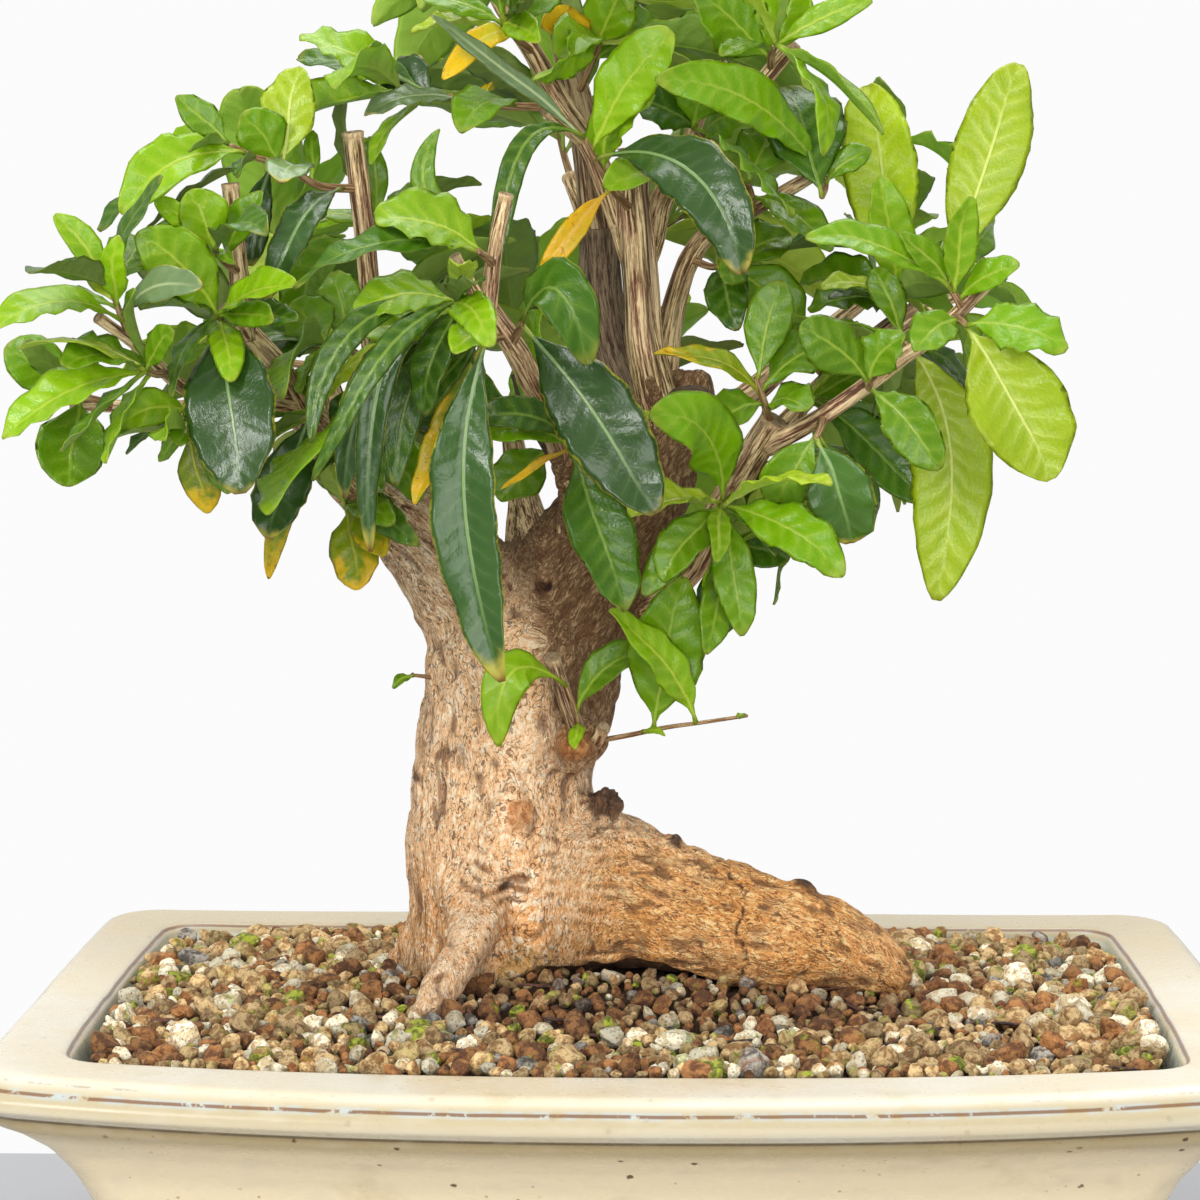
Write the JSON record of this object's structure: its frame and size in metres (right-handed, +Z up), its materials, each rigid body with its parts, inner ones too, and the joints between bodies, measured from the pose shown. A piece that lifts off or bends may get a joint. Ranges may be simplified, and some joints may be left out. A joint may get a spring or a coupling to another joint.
{
  "type": "bonsai in pot",
  "caption": "Bonsai tree with a stout forked trunk, a long surface root and lance-shaped leaves, in gravelly soil in a wide glazed pot with a flared rim.",
  "frame": {"origin": "middle of the footprint on the surface that the feet stand on", "axes": "+Z up, +X along the pot's long side, -Y towards the tree's front"},
  "size_m": [0.319, 0.231, 0.3747],
  "materials": {
    "glaze": "gloss",
    "screen_plastic": "matte",
    "soil": "matte",
    "bark": "matte",
    "leaf_dark": "satin",
    "leaf_deep": "satin",
    "leaf_mid": "satin",
    "leaf_bright": "satin",
    "leaf_lime": "satin",
    "leaf_olive": "satin"
  },
  "bodies": {
    "root": {"pot": "glaze", "drain_screen_left": "screen_plastic", "drain_screen_right": "screen_plastic", "soil": "soil", "trunk": "bark", "shoot_far_left_tip": "leaf_bright", "shoot_far_left_low": "leaf_mid", "shoot_low_left_end": "leaf_mid", "shoot_left_hanging": "leaf_mid", "shoot_left_tip": "leaf_bright", "shoot_left_stub_side": "leaf_mid", "shoot_upper_left_spray": "leaf_mid", "shoot_left_upright_side": "leaf_mid", "shoot_left_upright_low": "leaf_mid", "shoot_upper_left_high": "leaf_bright", "shoot_top_left": "leaf_mid", "shoot_front_twig": "leaf_bright", "shoot_top_mid": "leaf_bright", "shoot_crown_right": "leaf_bright", "shoot_diagonal_mid": "leaf_bright", "shoot_mid_branch_tip": "leaf_bright", "shoot_mid_branch_mid": "leaf_mid", "shoot_mid_branch_low": "leaf_mid", "shoot_behind_right_tip": "leaf_bright", "shoot_long_right_upper": "leaf_bright", "shoot_long_right_lower": "leaf_bright", "shoot_right_hanging": "leaf_lime", "shoot_right_long_mid": "leaf_mid", "shoot_right_stem_top": "leaf_mid", "shoot_right_stem_side": "leaf_mid", "shoot_right_center": "leaf_bright", "shoot_right_low_inner": "leaf_deep", "shoot_right_inner": "leaf_deep", "shoot_right_under": "leaf_mid", "shoot_low_shoot": "leaf_bright", "shoot_low_spur": "leaf_bright", "shoot_tiny_left": "leaf_mid", "shoot_hub_left": "leaf_deep", "shoot_hub_drape": "leaf_deep", "shoot_hub_front": "leaf_dark", "shoot_hub_broad": "leaf_dark", "shoot_hub_cut_side": "leaf_bright", "shoot_front_low": "leaf_deep", "shoot_crotch_fill": "leaf_mid", "shoot_left_limb_under": "leaf_dark", "shoot_left_limb_low": "leaf_olive", "shoot_left_limb_top": "leaf_mid", "shoot_top_crown_front": "leaf_bright", "shoot_top_crown_side": "leaf_bright", "shoot_back_left_end": "leaf_bright", "shoot_back_left_inner": "leaf_deep", "shoot_back_left_side": "leaf_bright", "shoot_back_mid_end": "leaf_mid", "shoot_back_mid_side": "leaf_bright", "shoot_back_right_end": "leaf_mid", "shoot_back_right_low": "leaf_mid", "shoot_back_low_end": "leaf_lime", "shoot_back_low_side": "leaf_deep", "shoot_back_low_right": "leaf_bright", "shoot_back_far_right_end": "leaf_bright"}
  },
  "joints": []
}
